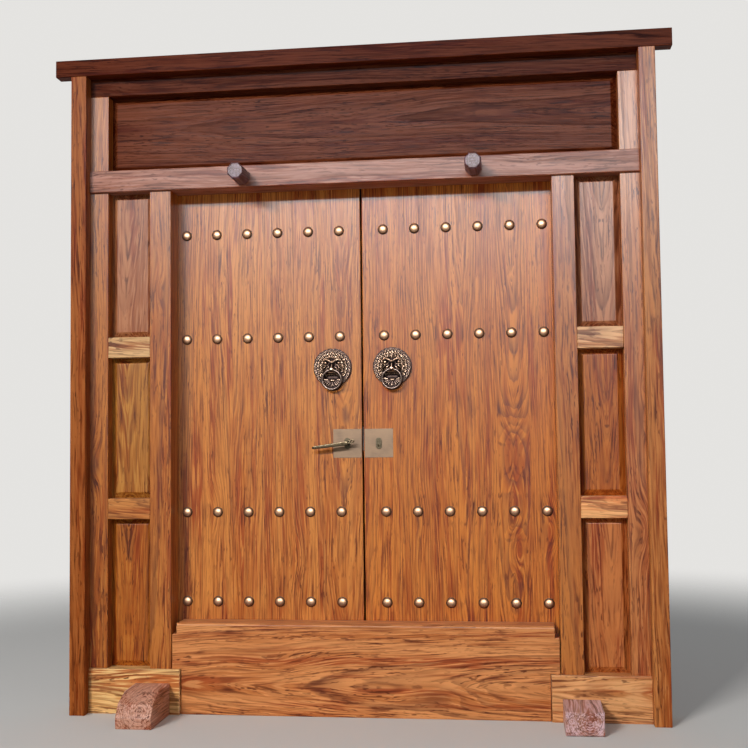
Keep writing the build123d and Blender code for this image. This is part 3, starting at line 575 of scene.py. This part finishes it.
# Each curl is a bar bent round an ellipse: its centre, its two radii, and the angles at which it
# starts and through which it runs. A short neck joins both to the hub.
CURLS = (((0.0125, 0.0040), (0.0046, 0.0056), 215, 275), ((0.0272, 0.0058), (0.0056, 0.0054), 185, 345))
CURL_HALF_WIDTH, CURL_END, NECK_HALF_WIDTH, NECK_LENGTH, NECK_DROP = 0.0027, 1e-6, 0.0026, 0.018, 0.001
bend = np.linspace(0, 1, 40)
bar = CURL_HALF_WIDTH * np.sqrt(np.clip(1 - (2 * bend - 1) ** 16, 0, 1)) + CURL_END
lever_parts = [arm]
for centre, radii, first, sweep in CURLS:
    turn = np.radians(first - sweep * bend)
    path = np.stack([centre[0] + radii[0] * np.cos(turn), centre[1] + radii[1] * np.sin(turn)], axis=1)
    lever_parts.append(swept(path, bar, ARM_HALF_DEPTH * bar / CURL_HALF_WIDTH, 0.7, 16))
neck_path = np.stack([ARM_START + NECK_LENGTH * rise, NECK_DROP - NECK_DROP * rise], axis=1)
lever_parts.append(swept(neck_path, NECK_HALF_WIDTH * tip, ARM_HALF_DEPTH * tip, 0.8, 16))
lean = np.array(((math.cos(LEVER_DROOP), 0, -math.sin(LEVER_DROOP)), (0, 1, 0),
                 (math.sin(LEVER_DROOP), 0, math.cos(LEVER_DROOP))))
SHOULDER_GAP = 0.0005
case_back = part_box("latch_case")[1].y
for node, outer in (("lever_handle", True), ("lever_inner", False)):
    low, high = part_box(node)
    face, root = (low.y, case_back) if outer else (high.y, case_back + SHOULDER_GAP)
    way = 1 if outer else -1
    middle = np.array((LEVER_X, face + way * LEVER_FOOT, LEVER_Z))
    parts = [middle + part @ lean.T for part in lever_parts]
    length = abs(root - face)
    hub = [(0, 0), (0.0060, 0.0003), (0.0082, 0.0012), (HUB_RADIUS, 0.003), (HUB_RADIUS, length),
           (0, length)]
    parts.append(turned(hub, (LEVER_X, face, LEVER_Z), (0, way, 0), 40))
    if outer:
        length = high.y - root
        spindle = [(0, 0), (SPINDLE_RADIUS, 0), (SPINDLE_RADIUS, length), (0, length)]
        parts.append(turned(spindle, (LEVER_X, root, LEVER_Z), (0, 1, 0), 4))
    surface_mesh(node + "_cast", parts, lever_metal, "lever", node)


# Lock works. Cases of blued steel mortised into the meeting edges, with the latch bolt in the left
# one and the deadbolt in the right one.
lock_metal = metal("blued_steel", (0.085, 0.080, 0.080), (0.035, 0.030, 0.030), 0.02, 0.38, 0.0001)
for node, body in (("latch_case", "leaf_left"), ("latch_bolt", "latch"),
                   ("lock_case", "leaf_right"), ("deadbolt", "bolt")):
    eased(node, body, 0.0004, lock_metal)


# Knocker masks. Lion masks cast in bronze: a mane of snail curls, heavy brows, a blunt nose over
# the bored snout that holds the ring, an open mouth and a bearded chin. Riveted behind the leaf.
def joined(first, second, soft=2.5):
    """The greater of two heights, with a fillet of the given softness where they cross."""
    share = np.clip(0.5 + 0.5 * (first - second) / soft, 0, 1)
    return second + (first - second) * share + soft * share * (1 - share)


def swell(x, z, centre, radii, height):
    """Half an ellipsoid on the face: its height falls to nothing at the ellipse of the two radii."""
    reach = ((x - centre[0]) / radii[0]) ** 2 + ((z - centre[1]) / radii[1]) ** 2
    return height * np.sqrt(np.clip(1 - reach, 0, 1))


def ridge(x, z, points):
    """A round-backed bar along points of (x, z, radius, height), tapering evenly between them: its
    height falls off as a half circle across it."""
    tallest = np.zeros_like(x)
    for (x0, z0, radius0, height0), (x1, z1, radius1, height1) in zip(points, points[1:]):
        run_x, run_z = x1 - x0, z1 - z0
        share = ((x - x0) * run_x + (z - z0) * run_z) / (run_x ** 2 + run_z ** 2)
        share = np.clip(share, 0, 1)
        away = np.hypot(x - x0 - share * run_x, z - z0 - share * run_z)
        away = away / (radius0 + share * (radius1 - radius0))
        crest = height0 + share * (height1 - height0)
        tallest = np.maximum(tallest, crest * np.sqrt(np.clip(1 - away ** 2, 0, 1)))
    return tallest


# The groove's pitch as a share of the curl's radius, its depth, and the curl's height at its edge.
GROOVE_PITCH, GROOVE_DEPTH, CURL_EDGE = 0.62, 0.24, 0.62


def snail(x, z, centre, radius):
    """A curl: a low dome of height 1 with a spiral groove, which is a cosine of the distance from
    the centre, shifted by the angle about it."""
    dx, dz = x - centre[0], z - centre[1]
    away = np.hypot(dx, dz)
    groove = np.cos(2 * np.pi * away / (radius * GROOVE_PITCH) - np.arctan2(dz, dx))
    dome = CURL_EDGE + (1 - CURL_EDGE) * (1 - (away / radius) ** 2)
    return np.where(away < radius, dome * (1 + GROOVE_DEPTH * groove), 0)


# The mane's rows from the outside in: how many curls, the row's radius, each curl's radius and
# height, and the angle in degrees that the row spans on both sides of the crown together.
MANE_ROWS = ((23, 70.5, 9.6, 9.5, 262), (19, 56.0, 8.6, 14.0, 250), (15, 43.5, 7.6, 18.0, 214))
CROWN_Z, MANE_REACH, CHIN_Z, CHIN_RADIUS = 6, 79, -45, 45
TEETH, TOOTH_PITCH, LOCKS = 4, 7.2, 6


def mask_relief(x, z):
    """The mask's height above the board in millimetres, at x across and z up from the snout's
    middle. One half is described and mirrored. Rows of curls ring a domed face with sunk eyes, and
    brows, nose, cheeks, lips, teeth and beard are swellings and tapered bars upon it."""
    side = np.abs(x)
    top = 4 + 3 * np.clip(1 - np.hypot(x, z - CROWN_Z) / 80, 0, 1)
    lobe = np.hypot(x, z - CHIN_Z)
    top = np.maximum(top, np.where(lobe < CHIN_RADIUS, 7.0, 0))
    for count, reach, size, tall, spread in MANE_ROWS:
        for k in range(count // 2 + 1):
            turn = math.radians(90 - spread * (k / (count - 1)))
            centre = (reach * math.cos(turn), CROWN_Z + reach * math.sin(turn))
            top = np.maximum(top, tall * snail(side, z, centre, size))
    # The domed face with its cheeks, and the hollows of the eyes and beside the nose.
    face = swell(x, z, (0, 4), (40, 36), 22)
    face = joined(face, swell(side, z, (21, -4), (17, 15), 25), 5)
    face = face - 15 * np.exp(-((side - 29) / 8) ** 2 - ((z - 25) / 7) ** 2)
    face = face - 6 * np.exp(-((side - 9) / 4) ** 2 - ((z - 12) / 14) ** 2)
    top = np.maximum(top, face)
    # Eyeballs, brows, lower lids, and two folds down each cheek.
    top = joined(top, 9 + swell(side, z, (28, 25), (6.5, 5.5), 9))
    brow = ((3, 27, 5, 27), (14, 35, 6, 28), (27, 40, 5.5, 24), (40, 33, 3.5, 18))
    top = joined(top, ridge(side, z, brow))
    top = joined(top, ridge(side, z, ((18, 16, 2.6, 24), (28, 14, 3.4, 23), (38, 18, 2.4, 19))))
    top = joined(top, ridge(side, z, ((13, 8, 3.0, 29), (19, 3, 4.6, 30), (26, -4, 3.2, 27))), 1.5)
    top = joined(top, ridge(side, z, ((26, 10, 2.6, 25), (32, 6, 3.6, 25), (38, -1, 2.6, 21))), 1.5)
    # Tear bumps, the bump between the brows, the nose's back and its wings.
    top = joined(top, swell(side, z, (15.5, 17), (3.6, 3.4), 26), 1.5)
    top = joined(top, swell(x, z, (0, 28), (5.5, 8.5), 31), 1.5)
    top = joined(top, ridge(x, z, ((0, 18, 3.2, 27), (0, 8, 4.2, 30), (0, -2, 6.5, 33))), 1.5)
    top = joined(top, swell(side, z, (8.5, -4), (5.2, 4.8), 30), 1.5)
    # Lips round an open mouth with teeth, of which the last is a fang, and the tongue.
    lips = ((0, -17, 3.4, 25), (9, -14.5, 3.6, 26), (20, -13, 3.6, 25), (31, -17, 3.6, 22),
            (38, -27, 3.4, 17), (37, -38, 3.2, 14))
    top = joined(top, ridge(side, z, lips), 1.5)
    mouth = (x / 34) ** 2 + ((z + 34) / 16) ** 2
    top = np.where(mouth < 1, np.minimum(top, 3 + 14 * np.clip(mouth - 0.6, 0, 1)), top)
    for k in range(TEETH):
        at = 3.8 + TOOTH_PITCH * k
        fang = 5.0 if k == TEETH - 1 else 0.0
        top = np.maximum(top, ridge(side, z, ((at, -22, 3.2, 17), (at, -25.5 - fang, 2.2, 15))))
    tongue = swell(x, z, (0, -48), (15, 8), 15)
    top = np.maximum(top, tongue - 1.5 * np.exp(-(x / 2) ** 2))
    # Locks of the beard, and the chin's scalloped rim.
    for k in range(LOCKS):
        turn = math.radians(-90 + 15.5 * (k + 0.5 * (k > 0)))
        start = (19 * math.cos(turn), -43 + 12 * math.sin(turn), 3.2, 10)
        end = (35 * math.cos(turn + 0.08), -43 + 27 * math.sin(turn + 0.08), 4.4, 11.5)
        top = np.maximum(top, ridge(side, z, (start, end)))
    scallops = np.cos(np.arctan2(z - CHIN_Z, side) * 15)
    rim = 12.5 * np.sqrt(np.clip(1 - ((lobe - 38) / 6.5) ** 2, 0, 1)) * (1 + 0.10 * scallops)
    top = np.where((lobe < CHIN_RADIUS) & (z < -50), np.maximum(top, rim), top)
    return np.maximum(top, 2.5)


def mask_wear_and_shade(x, z):
    """How far each spot stands clear of what lies round it: the relief less its mean on circles of
    2, 4 and 7 mm about the spot, from 0 in the hollows to 1 on the crests. It darkens the hollows as
    dark patina and painted shade, and lightens the crests as rubbed bronze and painted highlight. The
    rim stays dark, and the lower jaw and beard are held a little darker."""
    here = mask_relief(x, z)
    clear = 0
    for radius, weight in ((2, 0.20), (4, 0.10), (7, 0.055)):
        ring = [mask_relief(x + radius * math.cos(t), z + radius * math.sin(t))
                for t in np.arange(8) * math.pi / 4]
        clear = clear + weight * (here - np.mean(ring, axis=0))
    dark_rim = np.clip((MANE_REACH - np.hypot(x, z - CROWN_Z)) / 5, 0, 1)
    return np.clip(0.38 + clear, 0, 1) * np.where(z > -38, 0.25 + 0.75 * dark_rim, 0.85)


def mask_outline(turn):
    """How far the casting reaches each way from its middle: the greater of the round mane's reach
    and the chin's, with a small scallop for every curl."""
    def reach(offset, radius):
        along = offset * np.sin(turn)
        return along + np.sqrt(np.clip(radius ** 2 - offset ** 2 + along ** 2, 0, None))

    scallop = np.where(np.sin(turn) > -0.55, 1.1 * np.abs(np.cos(turn * 13)), 0.5)
    return np.maximum(reach(CROWN_Z, 78.6), reach(CHIN_Z, 44.4)) + scallop


# The casting's colour follows that measure: near black in the hollows, which is dark patina with painted
# shade, and pale bare bronze on the crests, which is rubbed wear with painted highlight.
HOLLOW_PATINA_AND_SHADE, SKIN, BARE_AND_HIGHLIGHT = (0.008, 0.005, 0.005), (0.062, 0.040, 0.032), (0.46, 0.31, 0.215)
antique = Finish("antique_bronze")
spot = antique.node("ShaderNodeTexCoord", None, None, 3)
wear_and_shade = antique.node("ShaderNodeAttribute", {"attribute_name": "crest_wear_and_shade"}, None, 2)
grime = antique.noise(spot, (0.005, 0.005, 0.005), 3.0, 5.0)
tone = antique.mix(antique.step(wear_and_shade, 0.12, 0.48), HOLLOW_PATINA_AND_SHADE, SKIN)
tone = antique.mix(antique.step(wear_and_shade + grime * 0.12, 0.50, 0.86), tone, BARE_AND_HIGHLIGHT)
bronze_cast = antique.surface(0.5 + grime * 0.3, 0.0002, Base_Color=tone, Metallic=1.0,
                              Roughness=0.32 + 0.08 * grime)
KNOCKER_X, KNOCKER_Z, SNOUT_DROP, STANDOFF = 0.124, 1.390, 0.0055, 0.029
NOSE_RADIUS, NOSE_RISE, NOSE_STANDOFF, NOSE_DROP = 0.0085, 0.0048, 0.0385, 0.003
RIVET = ((0, 0.054), (0.006, 0.0533), (0.010, 0.050), (0.005, 0.050), (0.005, 0.0), (0.0, 0.0))
MASK_ROWS, MASK_COLUMNS = 130, 400
turns = np.linspace(0, 2 * np.pi, MASK_COLUMNS, endpoint=False)
shares = np.linspace(0, 1, MASK_ROWS)[:, None]
across = shares * (mask_outline(turns) * np.cos(turns))
upward = shares * (mask_outline(turns) * np.sin(turns))
raised = mask_relief(across, upward)
raised[0] = raised[0].mean()
raised[-1] = 0
snout_section = [(5.9, -10), (9.6, -10), (10.4, -8), (10.8, 0), (10.4, 8), (9.6, 10), (5.9, 10),
                 (5.9, -10)]
for way, side in SIDES:
    x0 = way * KNOCKER_X
    front = np.stack([x0 + across / 1000, leaf_face - raised / 1000, KNOCKER_Z + upward / 1000],
                     axis=-1)
    back = front[::-1].copy()
    back[..., 1] = leaf_face
    snout = turned([(r / 1000, a / 1000) for r, a in snout_section],
                   (x0, leaf_face - STANDOFF, KNOCKER_Z - SNOUT_DROP), (1, 0, 0), 48)
    arc = [(NOSE_RADIUS * math.sin(t), NOSE_RISE * math.cos(t)) for t in np.linspace(0, math.pi, 16)]
    nose = turned(arc, (x0, leaf_face - NOSE_STANDOFF, KNOCKER_Z - NOSE_DROP), (0, -1, 0), 32)
    rivet = turned(RIVET, (x0, leaf_face, KNOCKER_Z), (0, 1, 0), 32)
    mask = surface_mesh("lion_mask_" + side, [front, back, snout, nose, rivet], bronze_cast,
                        "leaf_" + side, "knocker_mask_" + side).data
    corners = np.zeros(3 * len(mask.vertices))
    mask.vertices.foreach_get("co", corners)
    corners = corners.reshape(-1, 3)
    local = (corners - (x0, leaf_face, KNOCKER_Z)) * 1000
    # What stands proud of the relief, as the snout and the nose's tip do, keeps at least its skin.
    proud = np.clip(-local[:, 1] - mask_relief(local[:, 0], local[:, 2]), 0, 1)
    wear_and_shade = np.maximum(mask_wear_and_shade(local[:, 0], local[:, 2]), 0.45 * proud)
    mask.attributes.new("crest_wear_and_shade", "FLOAT", "POINT").data.foreach_set("value", wear_and_shade)


# Knocker rings. Plain cast rings of dark bronze that hang through the masks' snouts. A point goes
# round the bar's small circle, and that circle round the ring's large one.
ring_bronze = metal("ring_bronze", (0.10, 0.072, 0.058), (0.03, 0.02, 0.018), 0.004, 0.3, 0.0001)
RING_RADIUS, RING_BAR, RING_COLUMNS, RING_ROWS = 0.0395, 0.0045, 20, 96
round_ring, round_bar = np.meshgrid(np.linspace(0, 2 * np.pi, RING_ROWS + 1),
                                    np.linspace(0, 2 * np.pi, RING_COLUMNS, endpoint=False),
                                    indexing="ij")
reach = RING_RADIUS + RING_BAR * np.cos(round_bar)
points = np.stack([reach * np.sin(round_ring), RING_BAR * np.sin(round_bar),
                   reach * np.cos(round_ring)], axis=-1)
for way, side in SIDES:
    centre = np.array((way * KNOCKER_X, leaf_face - STANDOFF, KNOCKER_Z - SNOUT_DROP - RING_RADIUS))
    surface_mesh("knocker_loop_" + side, [centre + points], ring_bronze, "knocker_" + side,
                 "knocker_ring_" + side)


# Floor, light and camera. A pale floor that fades into a pale surround, a soft panel high on the
# left, a long white card over the camera that shows only in gloss, and a camera at the height and
# angle of a person standing before the door.
FADE_START, FADE_END, FLOOR_COLUMNS = 2.6, 5.5, 96
floor_finish = Finish("pale_floor")
spot = floor_finish.node("ShaderNodeTexCoord", None, None, 3)
away = floor_finish.node("ShaderNodeVectorMath", {"operation": "LENGTH"}, {0: spot}, 1)
plain = floor_finish.node("ShaderNodeBsdfDiffuse", None, {"Color": (0.62, 0.61, 0.59, 1)})
clear = floor_finish.node("ShaderNodeBsdfTransparent")
faded = floor_finish.step(away, FADE_START, FADE_END)
floor_finish.show(floor_finish.node("ShaderNodeMixShader", None, {0: faded, 1: plain, 2: clear}))
turn = np.linspace(0, 2 * np.pi, FLOOR_COLUMNS, endpoint=False)
reach = np.array([0.0, 2.0, 6.0])
disc = np.stack([np.outer(reach, np.cos(turn)), np.outer(reach, np.sin(turn)),
                 np.zeros((3, FLOOR_COLUMNS))], axis=-1)
index = np.arange(3 * FLOOR_COLUMNS).reshape(3, FLOOR_COLUMNS)
beside = np.roll(index, -1, axis=1)
quads = np.stack([index[:-1], index[1:], beside[1:], beside[:-1]], axis=-1).reshape(-1, 4)
floor_mesh = bpy.data.meshes.new("floor")
floor_mesh.from_pydata(disc.reshape(-1, 3).tolist(), [], quads.tolist())
floor_mesh.materials.append(floor_finish.material)
floor = bpy.data.objects.new("floor", floor_mesh)
bpy.context.scene.collection.objects.link(floor)

studio = Finish("studio", bpy.data.worlds, "ShaderNodeOutputWorld")
rays = [studio.node("ShaderNodeLightPath", None, None, name)
        for name in ("Is Camera Ray", "Is Glossy Ray", "Is Transmission Ray")]
seen = studio.node("ShaderNodeMath", {"operation": "MAXIMUM"}, {0: rays[0], 1: rays[1]})
seen = studio.node("ShaderNodeMath", {"operation": "MAXIMUM"}, {0: seen, 1: rays[2]})
fill = studio.node("ShaderNodeBackground", None, {"Color": (0.94, 0.97, 1.0, 1), "Strength": 0.36})
backdrop = studio.node("ShaderNodeBackground", None, {"Color": (0.78, 0.77, 0.75, 1), "Strength": 1.0})
lit = studio.node("ShaderNodeMixShader", None, {0: seen, 1: fill, 2: backdrop})
bpy.context.scene.world = studio.show(lit)


def panel_light(name, place, target, width, height, power, colour, fan=180, card=False):
    """A soft rectangular lamp at place, turned so that it shines at target, with its light within
    fan degrees. The lamp lights the surfaces and is not mirrored in them, and a card is the
    opposite: it shows only in their gloss, as the white board that a studio stands up."""
    lamp = bpy.data.lights.new(name, "AREA")
    lamp.shape = "RECTANGLE"
    lamp.size = width
    lamp.size_y = height
    lamp.energy = power
    lamp.color = colour
    lamp.spread = math.radians(fan)
    holder = bpy.data.objects.new(name, lamp)
    holder.location = place
    holder.rotation_euler = (Vector(target) - Vector(place)).to_track_quat("-Z", "Y").to_euler()
    holder.visible_diffuse = not card
    holder.visible_glossy = card
    bpy.context.scene.collection.objects.link(holder)


panel_light("key_panel", (-4.4, -9.5, 6.0), (0.1, 0, 0.4), 3.0, 0.9, 188.0, (1.0, 0.98, 0.96), 80)
panel_light("gloss_card", (-0.1, -6.2, 4.1), (0.2, 0, 2.0), 6.0, 0.3, 1750.0, (0.95, 0.97, 1.0),
            card=True)

# The camera stands right of the doorway's middle, turned a little to the left and tipped up.
CAMERA_PLACE = Vector((0.6065, -4.400, 1.1124))
CAMERA_YAW, CAMERA_PITCH, CAMERA_ROLL = 0.12321, 0.05589, -0.01166
CAMERA_LENS = 53.25
ahead = Vector((-math.sin(CAMERA_YAW) * math.cos(CAMERA_PITCH),
                math.cos(CAMERA_YAW) * math.cos(CAMERA_PITCH), math.sin(CAMERA_PITCH)))
level = Vector((math.cos(CAMERA_YAW), math.sin(CAMERA_YAW), 0))
above = level.cross(ahead)
right = level * math.cos(CAMERA_ROLL) + above * math.sin(CAMERA_ROLL)
up = above * math.cos(CAMERA_ROLL) - level * math.sin(CAMERA_ROLL)
camera = bpy.data.objects.new("camera", bpy.data.cameras.new("camera"))
camera.data.lens = CAMERA_LENS
camera.data.sensor_width = 36.0
camera.matrix_world = Matrix.Translation(CAMERA_PLACE) @ Matrix((right, up, -ahead)).transposed().to_4x4()
bpy.context.scene.collection.objects.link(camera)
bpy.context.scene.camera = camera
bpy.context.scene.view_settings.view_transform = "Standard"
